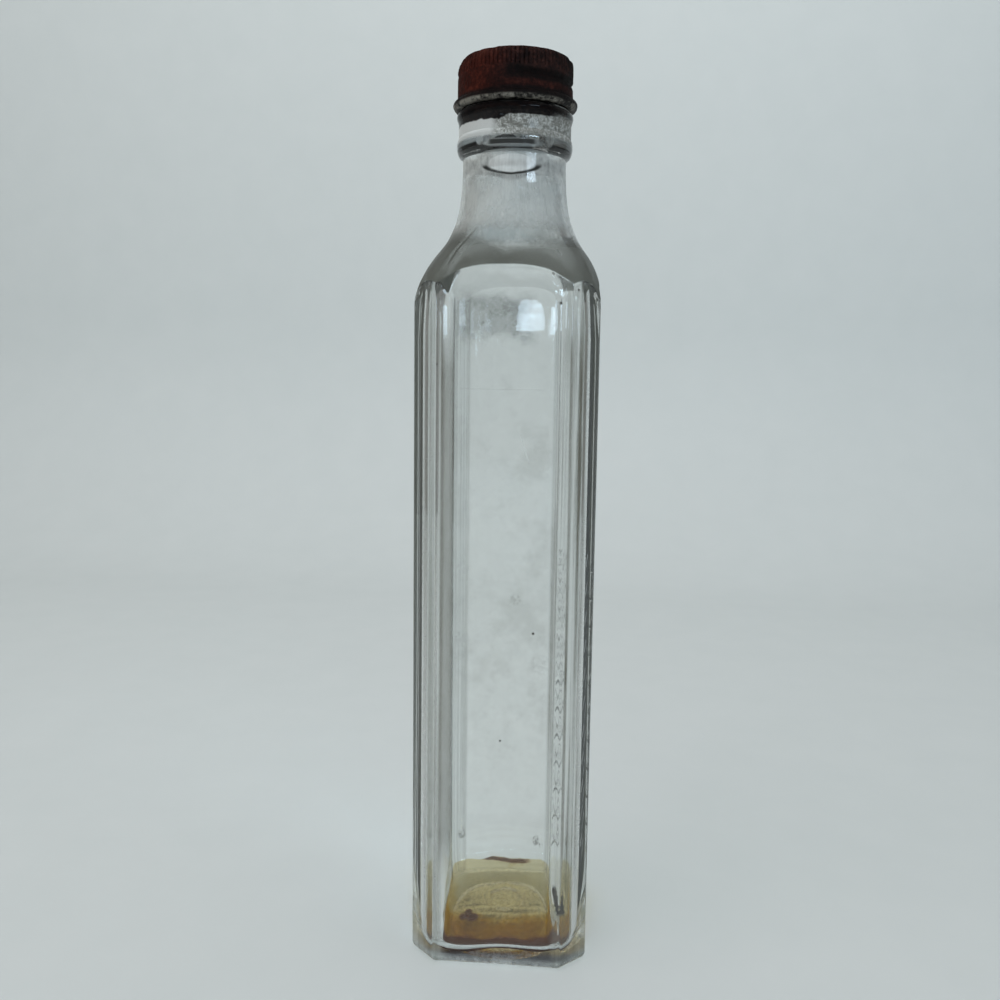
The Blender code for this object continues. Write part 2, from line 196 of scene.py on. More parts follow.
# Painted shade down the corners, as smoky grey and green strips
LEFT_STRIP = (-15.0 * MM, -11.8 * MM)
LEFT_EDGE = (-19.6 * MM, -17.1 * MM)
NEAR_STRIP = (12.2 * MM, 14.8 * MM)
RIGHT_STRIP = (15.8 * MM, 19.8 * MM)
RIGHT_LINE = (16.0 * MM, 16.8 * MM)
STRIPS_UP = (26.0 * MM, 160.0 * MM)
PATCH_UP = (159.5 * MM, 170.0 * MM)
PATCH_ACROSS = (-11.5 * MM, 6.5 * MM)
MIST_UP = (55.0 * MM, 152.0 * MM)
MIST_ACROSS = (-11.5 * MM, 12.0 * MM)
# A scratch, painted pale for the highlight it catches
SCRATCH_UP = (130.0 * MM, 137.0 * MM)
SCRATCH_TOP = (4.21 * MM, 137.18 * MM)
SCRATCH_LEAN = 0.308
FINE_LINE_UP = (147.3 * MM, 147.7 * MM)
FINE_LINE_ACROSS = (-10.4 * MM, 9.0 * MM)
# Dark brown slanting marks inside the front wall, low down at the right
LOW_MARK_ACROSS = (14.9 * MM, 15.6 * MM)
LOW_MARK_UP = (13.5 * MM, 21.5 * MM)
LOW_MARK_MIDDLE = 17.5 * MM
LOW_MARK_LEAN = 0.11
TIDE_UP = (9.1 * MM, 10.0 * MM)
TIDE_ACROSS = (-15.0 * MM, 6.0 * MM)

# Embossed lozenges on the right side panel
LOZENGES = 11
LOZENGE_FOOT = 26.0 * MM
LOZENGE_PITCH = 7.6 * MM
LOZENGE_HALF = (4.6 * MM, 3.7 * MM)
LOZENGE_STROKE = 1.0 * MM
EMBOSS_HEIGHT = 0.4 * MM
EMBOSS_ROOT = 0.8 * MM

# Screw cap
CAP_FOOT = 216.65 * MM
CAP_TOP = 229.0 * MM
CAP_RADIUS = 14.4 * MM
CAP_BEAD_RADIUS = 15.5 * MM
CAP_BEAD_HALF = 1.25 * MM
CAP_WAIST_RADIUS = 14.1 * MM
CAP_SHEET = 0.45 * MM
CAP_CORNER = 1.5 * MM
CAP_INNER_CORNER = 1.2 * MM
SKIRT_UP = (219.6 * MM, 227.3 * MM)
SKIRT_INSIDE_TOP = 226.5 * MM
KNURLS = 84
KNURL_DEPTH = 0.28 * MM
KNURL_BAND = (224.6 * MM, 228.6 * MM)
THREAD_HEIGHT = 222.9 * MM
THREAD_HALF = 0.9 * MM
THREAD_DEPTH = 0.65 * MM
THREAD_LEAD = 3.4 * MM
THREAD_START = math.radians(-100)
THREAD_END = math.radians(200)
THREAD_FADE = math.radians(35)
PRESSED_AT = math.radians(-155)  # where the rim of the cap is pressed in
PRESSED_WIDTH = 0.65  # radians
PRESSED_DEPTH = 0.65  # mm, as the chips and wobbles
CHIP_DEPTH = 0.9
WOBBLES = [(0.10, 2, 1.0, 0), (0.06, 5, 0.4, 300), (0.03, 11, 0.0, 900)]  # depth, waves, turn, rise
CROOKED = 0.18 * MM  # how far the bead wanders up and down
CAP_DISC = [(11.6, 0.0), (11.3, 0.15), (10.9, 0.3), (9, 0.25), (6, 0.25), (3, 0.25)]  # radius, sunk, in mm

# Marks on the cap, each from one height to another; the bead and the thread groove are darkened as painted
# shade
BEAD_SHADE_FADE = (218.6 * MM, 219.8 * MM)
GROOVE_SHADE_UP = (221.6 * MM, 224.6 * MM)
CROWN_FADE = (225.5 * MM, 228.5 * MM)
WORN_RIM_FADE = (217.3 * MM, 217.9 * MM)
RUSTY_BAND_UP = (219.6 * MM, 221.4 * MM)

# Dried film: degrees up the heel that it reaches, and its thicknesses
FILM_REACH = 42
FILM_INTO = 0.05 * MM
FILM_THICK = 0.45 * MM
FILM_SKIN = 0.1 * MM
AMBER_FROM = (4.0 * MM, 9.2 * MM)  # distances forward from the middle
DARK_LIP_FROM = (12.8 * MM, 14.8 * MM)
SIDES_FROM = (13.5 * MM, 16.5 * MM)
CLEAR_ABOVE = (9.8 * MM, 10.3 * MM)

# Panes of the small window that the front panel mirrors: width, foot and height in metres
WINDOW_PANES = [(0.046, -0.025, 0.030), (0.043, 0.005, 0.010), (0.036, 0.015, 0.007), (0.024, 0.022, 0.004)]
WINDOW_PLACE = (-0.096, -1.51, 0.256)
WINDOW_POWER = 21.0  # watts per square metre
WINDOW_AIM = (0, 0, 0.165)
WINDOW_BLUE = (0.66, 0.84, 1.0)

# Narrow lights that the ribs mirror: name, place and width
GLINT_POWER = 30.0  # watts per square metre
GLINT_TALL = 0.05
GLINTS = [
    ("left_glint", (-0.231, -1.51, 0.237), 0.009),
    ("rib_glint_from_right", (0.51, -1.41, 0.246), 0.28),
    ("rib_glint_from_left", (-0.56, -1.39, 0.256), 0.20),
]

# Other lights: name, place, aim, width, watts and colour, and for the window its height
SOFTBOXES = [
    ("key_softbox", (-0.75, -0.55, 1.15), (0, 0, 0.1), 0.9, 7.6, (1.0, 0.99, 0.97)),
    ("backdrop_softbox", (0.1, 0.0, 1.0), (0, 0.6, 0.25), 0.8, 3.75, (0.96, 0.985, 0.99)),
]
SIDE_WINDOW = ("side_window", (0.95, -1.05, 0.60), (0, 0, 0.2), 0.5, 3.8, (0.68, 0.85, 1.0), 0.14)
ROOM_GREY = (0.21, 0.214, 0.208, 1)

# Pale sweep that the bottle stands on, in metres
SWEEP_HALF = 0.85
SWEEP_FRONT = -1.6
SWEEP_BACK = 0.62
SWEEP_BEND = 0.2
SWEEP_TALL = 0.5
SWEEP_STEPS = 12

# Camera, as fitted to the photograph
CAMERA_AWAY = 262.8 * MM
CAMERA_HEIGHT = 150.4 * MM
CAMERA_SIDE = -2.55 * MM
CAMERA_TURN = math.radians(5.5)
CAMERA_DOWN = math.radians(7.0)
CAMERA_ROLL = math.radians(0.77)
CAMERA_LENS = 36.0


class Value:
    """A socket of a material's node tree, with Python arithmetic."""

    def __init__(self, tree, socket):
        self.tree = tree
        self.socket = socket

    def math(self, operation, other=None):
        return self.tree.node("ShaderNodeMath", {"operation": operation}, {0: self, 1: other})

    def __add__(self, other):
        return self.math("ADD", other)

    def __sub__(self, other):
        return self.math("SUBTRACT", other)

    def __rsub__(self, other):
        return self.tree.node("ShaderNodeMath", {"operation": "SUBTRACT"}, {0: other, 1: self})

    def __mul__(self, other):
        return self.math("MULTIPLY", other)

    def __truediv__(self, other):
        return self.math("DIVIDE", other)

    __radd__ = __add__
    __rmul__ = __mul__

    def least(self, other):
        return self.math("MINIMUM", other)

    def most(self, other):
        return self.math("MAXIMUM", other)

    def size(self):
        return self.math("ABSOLUTE")

    def step(self, low, high):
        """0 below low and 1 above high, with a smooth way between."""
        settings = {"interpolation_type": "SMOOTHSTEP"}
        return self.tree.node("ShaderNodeMapRange", settings, {"Value": self, 1: low, 2: high})


class Finish:
    """A material and its node tree."""

    def __init__(self, name):
        self.material = bpy.data.materials.new(name)
        self.material.use_nodes = True
        self.nodes = self.material.node_tree.nodes
        self.links = self.material.node_tree.links
        self.nodes.clear()
        self.place = self.node("ShaderNodeTexCoord", {}, {}, "Object")

    def node(self, kind, settings, sockets, output=0):
        """Adds a node, sets its settings, then fills its sockets with values or links."""
        made = self.nodes.new(kind)
        for name, value in settings.items():
            if name == "stops":
                self.set_stops(made.color_ramp, value)
            else:
                setattr(made, name, value)
        for name, value in sockets.items():
            if value is None:
                continue
            if isinstance(value, Value):
                self.links.new(value.socket, made.inputs[name])
            else:
                made.inputs[name].default_value = value
        return Value(self, made.outputs[output])

    def set_stops(self, ramp, stops):
        while len(ramp.elements) < len(stops):
            ramp.elements.new(0.5)
        for element, (position, colour) in zip(ramp.elements, stops):
            element.position = position
            element.color = (*colour, 1.0)

    def attribute(self, name):
        return self.node("ShaderNodeAttribute", {"attribute_name": name}, {}, "Fac")

    def axes(self):
        split = self.node("ShaderNodeSeparateXYZ", {}, {0: self.place})
        outputs = split.socket.node.outputs
        return [Value(self, outputs[k]) for k in range(3)]

    def noise(self, scale, detail=3.0, rough=0.55, stretch=None, warp=0.0):
        where = self.place
        if stretch:
            where = self.node("ShaderNodeMapping", {}, {"Vector": where, "Scale": stretch})
        sockets = {"Vector": where, "Scale": scale, "Detail": detail, "Roughness": rough}
        return self.node("ShaderNodeTexNoise", {}, {**sockets, "Distortion": warp})

    def cells(self, scale):
        return self.node("ShaderNodeTexVoronoi", {}, {"Vector": self.place, "Scale": scale})

    def ramp(self, value, stops):
        return self.node("ShaderNodeValToRGB", {"stops": stops}, {0: value})

    def blend(self, share, one, other):
        """Mixes two colours; a colour is a Value or three numbers."""
        one = one if isinstance(one, Value) else (*one, 1.0)
        other = other if isinstance(other, Value) else (*other, 1.0)
        return self.node("ShaderNodeMix", {"data_type": "RGBA"}, {0: share, 6: one, 7: other}, 2)

    def near(self, point):
        """1 in the middle of a spot (x, y, z, radius in mm) and 0 outside it."""
        spot = tuple(c * MM for c in point[:3])
        away = self.node(
            "ShaderNodeVectorMath", {"operation": "DISTANCE"}, {0: self.place, 1: spot}, "Value"
        )
        return 1.0 - away.step(point[3] * 0.5 * MM, point[3] * MM)

    def any_near(self, points):
        total = self.near(points[0])
        for point in points[1:]:
            total = total + self.near(point)
        return total

    def bump(self, height, distance, strength=1.0):
        return self.node(
            "ShaderNodeBump", {}, {"Height": height, "Distance": distance, "Strength": strength}
        )

    def surface(self, **sockets):
        names = {key.replace("_", " "): value for key, value in sockets.items()}
        return self.node("ShaderNodeBsdfPrincipled", {}, names)

    def clear(self, colour):
        return self.node("ShaderNodeBsdfTransparent", {}, {0: (*colour, 1.0)})

    def mix(self, share, one, other):
        return self.node("ShaderNodeMixShader", {}, {0: share, 1: one, 2: other})

    def close(self, shader):
        end = self.nodes.new("ShaderNodeOutputMaterial")
        self.links.new(shader.socket, end.inputs["Surface"])
        return self.material


def mix(a, b, t):
    return a + (b - a) * t


def smooth(low, high, x):
    t = np.clip((x - low) / (high - low), 0.0, 1.0)
    return t * t * (3 - 2 * t)


def soft_min(a, b, width):
    h = np.maximum(width - np.abs(a - b), 0.0) / width
    return np.minimum(a, b) - h * h * width / 4


def curve_value(curve, x):
    """A smooth curve through (x, value) points, with each slope read from its neighbours."""
    xs = np.array([p[0] for p in curve])
    ys = np.array([p[1] for p in curve])
    slopes = np.gradient(ys) / np.gradient(xs)
    slopes[0] = (ys[1] - ys[0]) / (xs[1] - xs[0])
    slopes[-1] = 0.0
    x = np.asarray(x, float)
    inside = np.clip(x, xs[0], xs[-1])
    i = np.clip(np.searchsorted(xs, inside, "right") - 1, 0, len(xs) - 2)
    span = xs[i + 1] - xs[i]
    t = (inside - xs[i]) / span
    y = (2 * t**3 - 3 * t**2 + 1) * ys[i] + (t**3 - 2 * t**2 + t) * span * slopes[i]
    y = y + (3 * t**2 - 2 * t**3) * ys[i + 1] + (t**3 - t**2) * span * slopes[i + 1]
    return y + (x - inside) * slopes[0]


def superellipse(wide, deep, power, angle):
    c, s = np.abs(np.cos(angle)) / wide, np.abs(np.sin(angle)) / deep
    return 1 / (c**power + s**power) ** (1 / power)


def panel_sink(offset, z):
    """How far the panel's floor lies below the flat side, at an offset from its middle."""
    reach = np.clip(z - PANEL_TOP_START, 0.0, PANEL_TOP_ARC)
    half = PANEL_HALF + np.sqrt(PANEL_TOP_ARC**2 - reach**2) - PANEL_TOP_ARC
    across = 1 - smooth(half, half + RIB_WIDTH, np.abs(offset))
    return PANEL_DEPTH * across * smooth(PANEL_FOOT[0], PANEL_FOOT[1], z)


def prism_radius(angle, z):
    turn = math.pi / 2
    near = angle - turn * np.round(angle / turn)
    flat = (BODY_HALF - panel_sink(BODY_HALF * np.tan(near), z)) / np.cos(near)
    cut = CHAMFER_DISTANCE / np.cos(np.abs(near) - math.pi / 4)
    return soft_min(flat, cut, EDGE_SOFTNESS)


def dome_radius(angle, z, inset=0.0):
    wide = curve_value(SHOULDER_WIDTH, z) - inset
    deep = curve_value(SHOULDER_DEPTH, z) - inset
    return superellipse(wide, deep, curve_value(SHOULDER_POWER, z), angle)


def seam_height(angle, z):
    """The mould's seam: a fine ridge over the shoulder, at the front left and back right."""
    turn = math.pi
    off = angle - curve_value(SEAM_LINE, z)
    off = np.abs(off - turn * np.round(off / turn))
    off = off * curve_value(SHOULDER_WIDTH, np.maximum(z, 165 * MM))
    ridge = np.clip(1 - off / SEAM_HALF, 0.0, 1.0)
    foot, full, fading, end = SEAM_ENDS
    return SEAM_HEIGHT * ridge * smooth(foot, full, z) * (1 - smooth(fading, end, z))


def outer_radius(angle, z):
    prism = prism_radius(angle, z)
    heel = np.clip(HEEL_RADIUS - z, 0.0, HEEL_RADIUS)
    prism = prism - (HEEL_RADIUS - np.sqrt(HEEL_RADIUS**2 - heel**2))
    body = soft_min(prism, dome_radius(angle, z), EDGE_SOFTNESS)
    body = np.where(z <= STRAIGHT_UP_TO, prism, body)
    body = np.where(z >= ROUND_FROM, curve_value(SHOULDER_WIDTH, z), body)
    return body + seam_height(angle, z)


def arch_height(angle):
    """Where the shoulder meets the flat side or cut corner at each angle."""
    low = np.full_like(angle, STRAIGHT_UP_TO)
    high = np.full_like(angle, ROUND_FROM)
    for _ in range(30):
        z = (low + high) / 2
        above = dome_radius(angle, z) > prism_radius(angle, z)
        low = np.where(above, z, low)
        high = np.where(above, high, z)
    return low


def cavity_radius(angle, z):
    half = BODY_HALF - WALL
    body = superellipse(half, half, CAVITY_SQUARENESS, angle)
    both = soft_min(body, dome_radius(angle, z, WALL), CAVITY_BLEND)
    return np.where(z <= STRAIGHT_UP_TO, body, both)


def floor_height(angle, radius):
    reach = np.minimum(radius / (BODY_HALF - WALL), 1.0)
    wave = FLOOR_WAVE * reach**2 * np.cos(FLOOR_WAVES * (angle + WAVE_TURN))
    tilt = radius * (FLOOR_TILT * np.sin(angle) + SIDE_TILT * np.cos(angle))
    x, y = radius * np.cos(angle), radius * np.sin(angle)
    near_front = np.exp(-(((y - CREASE_MIDDLE) / CREASE_SPREAD) ** 2)) * (1 - reach**4)
    bent = y - 0.012 * x * np.abs(x) / MM + 0.1 * x
    creases = CREASE_DEPTH * np.sin(bent / CREASE_STEP) * near_front
    return CAVITY_FLOOR + FLOOR_RISE * (1 - reach**2) + wave + tilt + creases


def heel_point(angle, degrees, inward=0.0):
    """Radius and height on the round corner between cavity floor and wall."""
    a = math.radians(1) * degrees
    across, up = CAVITY_HEEL
    up = up + HEEL_SWING * np.sin(angle)
    wall = cavity_radius(angle, CAVITY_FLOOR)
    radius = wall - across + (across - inward) * np.cos(a)
    base = floor_height(angle, wall - across)
    wrinkle = sum(depth * np.exp(-(((degrees - at) / wide) ** 2)) for at, wide, depth in HEEL_WRINKLES)
    at_back = smooth(0.2, 0.7, np.sin(angle))
    return radius - wrinkle * at_back, base + up - (up - inward) * np.sin(a)


def arc(r_middle, z_middle, r_half, z_half, start, end, steps):
    """Points (radius, height) along part of an ellipse, angles in degrees."""
    turns = [math.radians(mix(start, end, k / steps)) for k in range(steps + 1)]
    return [(r_middle + r_half * math.cos(a), z_middle + z_half * math.sin(a)) for a in turns]


def select_only(piece):
    bpy.ops.object.select_all(action="DESELECT")
    piece.select_set(True)
    bpy.context.view_layer.objects.active = piece


def wrap(name, angles, rows, low_pole, high_pole):
    """A grid wrapped round the axis into one closed shell; a row is (radius, height)."""
    count, lines = len(angles), len(rows) + 2
    bpy.ops.object.select_all(action="DESELECT")
    bpy.ops.mesh.primitive_grid_add(x_subdivisions=count, y_subdivisions=lines - 1, size=1)
    piece = bpy.context.object
    piece.name = piece.data.name = name
    points = np.zeros((lines, count + 1, 3))
    points[0, :, 2], points[-1, :, 2] = low_pole, high_pole
    for k, (radius, height) in enumerate(rows, 1):
        radius = np.broadcast_to(radius, angles.shape)
        points[k, :-1, 0] = radius * np.cos(angles)
        points[k, :-1, 1] = radius * np.sin(angles)
        points[k, :-1, 2] = height
    points[1:-1, -1] = points[1:-1, 0]
    piece.data.vertices.foreach_set("co", points.ravel())
    bpy.ops.object.mode_set(mode="EDIT")
    bpy.ops.mesh.select_all(action="SELECT")
    bpy.ops.mesh.remove_doubles(threshold=1e-6)
    bpy.ops.mesh.normals_make_consistent(inside=False)
    bpy.ops.object.mode_set(mode="OBJECT")
    return piece


def smooth_shade(piece, degrees):
    select_only(piece)
    bpy.ops.object.shade_smooth_by_angle(angle=math.radians(degrees))


def bottle_angles():
    """Angles round the bottle, closest together across the ribs and corners."""
    corner = BODY_HALF - CORNER_CUT
    offsets = np.concatenate(
        [
            np.linspace(0, PANEL_HALF, 11)[:-1],
            np.linspace(PANEL_HALF, corner + 0.5 * MM, 17)[:-1],
            np.linspace(corner + 0.5 * MM, BODY_HALF - 0.9 * MM, 5)[:-1],
            np.linspace(BODY_HALF - 0.9 * MM, BODY_HALF, 7),
        ]
    )
    half = np.arctan2(offsets, BODY_HALF)
    quarter = np.concatenate([-half[:0:-1], half[:-1]])
    return np.concatenate([quarter + math.pi / 2 * k for k in range(4)])


def underside_height(angles, radius):
    """The hollow of the underside, with its ring standing down from it."""
    inner, outer, height = BASE_RING
    away = np.hypot(radius * np.cos(angles), radius * np.sin(angles) - RING_MIDDLE)
    proud = smooth(inner - RING_SLOPE, inner, away) * (1 - smooth(outer, outer + RING_SLOPE, away))
    hollow = 1 - smooth(BASE_LAND - HOLLOW_SLOPE, BASE_LAND, radius)
    return BASE_HOLLOW * hollow - height * proud


def bottle_rows(angles):
    rows = [(r, underside_height(angles, r)) for r in np.linspace(0.3 * MM, BASE_LAND, 36)]
    heel = [HEEL_RADIUS * (1 - math.cos(math.radians(a))) for a in range(0, 91, 10)]
    levels = heel + list(np.linspace(PANEL_FOOT[0], PANEL_FOOT[1], 8))
    levels += list(np.linspace(12 * MM, STRAIGHT_UP_TO, 26))
    rows += [(outer_radius(angles, z), z) for z in levels]
    arch = arch_height(angles)
    ease = np.linspace(0, 1, 13)[1:]
    for part in 1 - (1 - ease) ** 1.8:
        z = mix(STRAIGHT_UP_TO, arch, part)
        rows.append((outer_radius(angles, z), z))
    ease = np.linspace(0, 1, 31)[1:]
    for part in ease**1.35:
        z = mix(arch, ROUND_FROM, part)
        rows.append((outer_radius(angles, z), z))
    rows += [(outer_radius(angles, z), z) for z in np.linspace(192 * MM, 204.6 * MM, 10)]
    z, half, radius = LOWER_BEAD
    rows += arc(radius - BEAD_SWELL, z, BEAD_SWELL, half, -82, 65, 16)
    z, half, radius = UPPER_BEAD
    rows += [(BAND_RADIUS, z - 3.6 * half), (BAND_RADIUS, z - 2 * half), (BAND_RADIUS, z - 1.2 * half)]
    rows += arc(radius - BEAD_SWELL, z, BEAD_SWELL, half, -30, 90, 12)
    rows += [(FINISH_RADIUS, z + half)]
    rows += arc(FINISH_RADIUS - LIP_ARC, LIP_TOP - LIP_ARC, LIP_ARC, LIP_ARC, 0, 90, 6)
    rows += arc(BORE_RADIUS + LIP_ARC, LIP_TOP - LIP_ARC, LIP_ARC, LIP_ARC, 90, 180, 6)
    rows += [(BORE_RADIUS, z) for z in (220 * MM, 212 * MM)]
    middle = BORE_RADIUS + BORE_EDGE
    rows += arc(middle, BORE_FOOT + BORE_EDGE, BORE_EDGE, BORE_EDGE, 180, 250, 8)
    rows += [(radius * MM, z * MM) for z, radius in NECK_FLARE]
    for z in list(np.linspace(196.5, 160, 44) * MM) + list(np.linspace(150, 22, 24) * MM):
        rows.append((cavity_radius(angles, z), z))
    turns = np.concatenate([np.linspace(0, 24, 13), np.linspace(29, 90, 13)])
    rows += [heel_point(angles, degrees) for degrees in turns]
    for share in np.linspace(0.98, 0.04, 40):
        radius = share * heel_point(angles, 90)[0]
        rows.append((radius, floor_height(angles, radius)))
    return rows


def make_lozenge():
    """One open lozenge with a small one inside, standing out of the right side panel."""
    floor = BODY_HALF - PANEL_DEPTH
    depth = EMBOSS_ROOT + EMBOSS_HEIGHT
    parts = []
    for scale, stroke in ((1.0, LOZENGE_STROKE), (0.3, 0.0)):
        bpy.ops.object.select_all(action="DESELECT")
        bpy.ops.mesh.primitive_cone_add(vertices=4, radius1=1.0, radius2=0.92, depth=depth)
        part = bpy.context.object
        part.scale = (LOZENGE_HALF[0] * scale, LOZENGE_HALF[1] * scale, 1.0)
        bpy.ops.object.transform_apply(location=False, rotation=False, scale=True)
        if stroke:
            bpy.ops.object.mode_set(mode="EDIT")
            mesh = bmesh.from_edit_mesh(part.data)
            for face in mesh.faces:
                face.select_set(face.calc_center_median().z > 0.4 * depth)
            bmesh.update_edit_mesh(part.data)
            bpy.ops.mesh.inset(thickness=stroke)
            bpy.ops.transform.translate(value=(0, 0, -EMBOSS_HEIGHT - 0.4 * MM))
            bpy.ops.object.mode_set(mode="OBJECT")
        parts.append(part)
    bpy.ops.object.select_all(action="DESELECT")
    for part in parts:
        part.select_set(True)
    bpy.context.view_layer.objects.active = parts[0]
    bpy.ops.object.join()
    piece = bpy.context.object
    outward = Matrix(((0, 0, 1, 0), (1, 0, 0, 0), (0, 1, 0, 0), (0, 0, 0, 1)))
    piece.data.transform(Matrix.Translation((floor - EMBOSS_ROOT + depth / 2, 0, 0)) @ outward)
    return piece


def make_embossing():
    chain = make_lozenge()
    chain.data.transform(Matrix.Translation((0, 0, LOZENGE_FOOT)))
    bpy.ops.object.modifier_add(type="ARRAY")
    repeat = chain.modifiers["Array"]
    repeat.count = LOZENGES
    repeat.use_relative_offset = False
    repeat.use_constant_offset = True
    repeat.constant_offset_displace = (0, 0, LOZENGE_PITCH)
    bpy.ops.object.modifier_apply(modifier="Array")
    return chain


def mark_glass(bottle):
    """Stores which points face the cavity, and how far each lies above the shoulder's arch."""
    co = np.zeros(len(bottle.data.vertices) * 3)
    bottle.data.vertices.foreach_get("co", co)
    co = co.reshape(-1, 3)
    angle = np.arctan2(co[:, 1], co[:, 0])
    radius = np.hypot(co[:, 0], co[:, 1])
    middle = outer_radius(angle, co[:, 2]) - WALL / 2
    middle = np.where(co[:, 2] > BORE_FROM, BORE_RADIUS + 2 * MM, middle)
    base_middle = (floor_height(angle, radius) + underside_height(angle, radius)) / 2
    inside = (radius < middle) & (co[:, 2] > base_middle)
    # the notch where the painted shoulder shade reaches down at the front left
    notch = NOTCH_DROP * np.exp(-(((np.degrees(angle) - NOTCH_AT) / NOTCH_HALF) ** 2))
    above = (co[:, 2] - arch_height(angle)) / MM + notch
    for name, values in (("inside", inside), ("above_arch", above)):
        layer = bottle.data.attributes.new(name, "FLOAT", "POINT")
        layer.data.foreach_set("value", values.astype(np.float32))


def make_bottle():
    angles = bottle_angles()
    floor_middle = float(floor_height(0.0, 0.0))
    rows = bottle_rows(angles)
    bottle = wrap("glass_body", angles, rows, BASE_HOLLOW, floor_middle)
    mark_glass(bottle)
    embossing = make_embossing()
    select_only(bottle)
    bpy.ops.object.modifier_add(type="BOOLEAN")
    join = bottle.modifiers["Boolean"]
    join.operation = "UNION"
    join.solver = "MANIFOLD"
    join.object = embossing
    bpy.ops.object.modifier_apply(modifier="Boolean")
    bpy.data.objects.remove(embossing, do_unlink=True)
    smooth_shade(bottle, 35)
    bottle.data.materials.clear()
    bottle.data.materials.append(glass_finish())
    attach(bottle, "root")
    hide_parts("bottle")


def groove_depth(angle, z):
    a = np.remainder(angle + math.pi, 2 * math.pi) - math.pi
    a = np.where(a < THREAD_START, a + 2 * math.pi, a)
    lift = THREAD_LEAD * np.maximum(a, 0.0) / (2 * math.pi)
    fade = smooth(THREAD_START, THREAD_START + THREAD_FADE, a)
    fade = fade * (1 - smooth(THREAD_END - THREAD_FADE, THREAD_END, a))
    away = np.abs(z - THREAD_HEIGHT - lift) / THREAD_HALF
    return THREAD_DEPTH * fade * (1 - smooth(0.0, 1.3, away))


def cap_dents(angle, z):
    """Unevenness of the thin, battered and rust-eaten sheet."""
    z = np.broadcast_to(z, angle.shape)
    wobble = sum(size * np.sin(waves * angle + turn + rise * z) for size, waves, turn, rise in WOBBLES)
    places = np.stack([np.cos(angle), np.sin(angle), z / CAP_RADIUS], 1)
    rough = [0.10 * noise.noise(Vector(p) * 9) + 0.07 * noise.noise(Vector(p) * 26) for p in places]
    chips = [max(0.0, noise.noise(Vector(p) * 5 + Vector((7, 0, 0))) - 0.12) for p in places]
    chips = -CHIP_DEPTH * np.array(chips) * smooth(226.2 * MM, 228.4 * MM, z)
    off = np.remainder(angle - PRESSED_AT + math.pi, 2 * math.pi) - math.pi
    pressed = -PRESSED_DEPTH * smooth(225.8 * MM, 228.4 * MM, z) * np.exp(-((off / PRESSED_WIDTH) ** 2))
    return (wobble + np.array(rough) + chips + pressed) * MM


def make_cap():
    angles = np.linspace(0, 2 * math.pi, KNURLS * 8, endpoint=False)
    bead_z = CAP_FOOT + CAP_BEAD_HALF
    swell = CAP_BEAD_RADIUS - CAP_WAIST_RADIUS
    bead = arc(CAP_WAIST_RADIUS, bead_z, swell, CAP_BEAD_HALF, -110, 75, 14)
    skirt_foot, skirt_top = SKIRT_UP
    skirt = [(CAP_RADIUS, z) for z in np.linspace(skirt_foot, skirt_top, 40)]
    corner = arc(CAP_RADIUS - CAP_CORNER, CAP_TOP - CAP_CORNER, CAP_CORNER, CAP_CORNER, 5, 90, 10)
    low, high = KNURL_BAND
    deeper = 1 + 0.35 * np.sin(3 * angles) + 0.25 * np.sin(13 * angles + 1)

    def outside(radius, z):
        band = smooth(low - 0.4 * MM, low + 0.4 * MM, z) * (1 - smooth(high - 0.2 * MM, high, z))
        flute = np.maximum(0.0, np.cos(KNURLS * angles)) ** 1.5 * deeper
        r = radius - groove_depth(angles, z) - KNURL_DEPTH * band * flute
        return np.minimum(r + cap_dents(angles, z), CAP_RADIUS + 0.15 * MM)

    plain = CAP_RADIUS - CAP_SHEET
    roof = CAP_TOP - CAP_SHEET
    rows = [(plain - CAP_INNER_CORNER, roof), (plain, roof - CAP_INNER_CORNER)]
    inside = np.linspace(SKIRT_INSIDE_TOP, skirt_foot, 24)
    rows += [(plain - groove_depth(angles, z) + cap_dents(angles, z), z) for z in inside]
    rows += [(CAP_WAIST_RADIUS - CAP_SHEET, z) for z in (bead_z, CAP_FOOT + 0.3 * MM)]
    crooked = CROOKED * np.sin(angles + 0.8)
    for r, z in bead:
        rows.append((r + cap_dents(angles, z), np.maximum(z + crooked, CAP_FOOT)))
    rows += [(outside(r, z), z) for r, z in skirt + corner]
    rows += [(r * MM, CAP_TOP - sunk * MM) for r, sunk in CAP_DISC]
    cap = wrap("rusty_cap", angles, rows, roof, CAP_TOP - 0.2 * MM)
    smooth_shade(cap, 50)
    cap.data.materials.append(rust_finish())
    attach(cap, "root")
    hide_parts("cap")


def make_residue():
    """A thin dried layer, from just inside the glass floor up to an uneven edge on the wall."""
    angles = np.linspace(0, 2 * math.pi, 240, endpoint=False)
    ragged = 5 * np.sin(3 * angles + 2.0) + 4 * np.sin(7 * angles) + 2 * np.sin(19 * angles + 1.0)
    top = FILM_REACH + ragged * 0.6 + 4 * np.sin(angles)
    inner = heel_point(angles, 90)[0]
    floor_shares = np.linspace(0.05, 0.98, 36)
    rows = [(inner * share, floor_height(angles, inner * share) - FILM_INTO) for share in floor_shares]
    rows += [heel_point(angles, mix(90, top, share), -FILM_INTO) for share in np.linspace(0, 1, 9)]
    for share in np.linspace(1, 0, 9):
        thick = mix(FILM_THICK, FILM_INTO, share**0.7)
        rows.append(heel_point(angles, mix(90, top, share), thick))
    for share in floor_shares[::-1]:
        height = floor_height(angles, inner * share) + FILM_THICK * share**3 + FILM_SKIN
        rows.append((inner * share, height))
    low = float(floor_height(0.0, 0.0)) - FILM_INTO
    residue = wrap("dried_residue", angles, rows, low, low + FILM_INTO + FILM_SKIN)
    smooth_shade(residue, 60)
    residue.data.materials.append(residue_finish())
    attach(residue, "root")
    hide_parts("residue")


def between(value, low, high, soft):
    return value.step(low - soft, low + soft) * (1.0 - value.step(high - soft, high + soft))


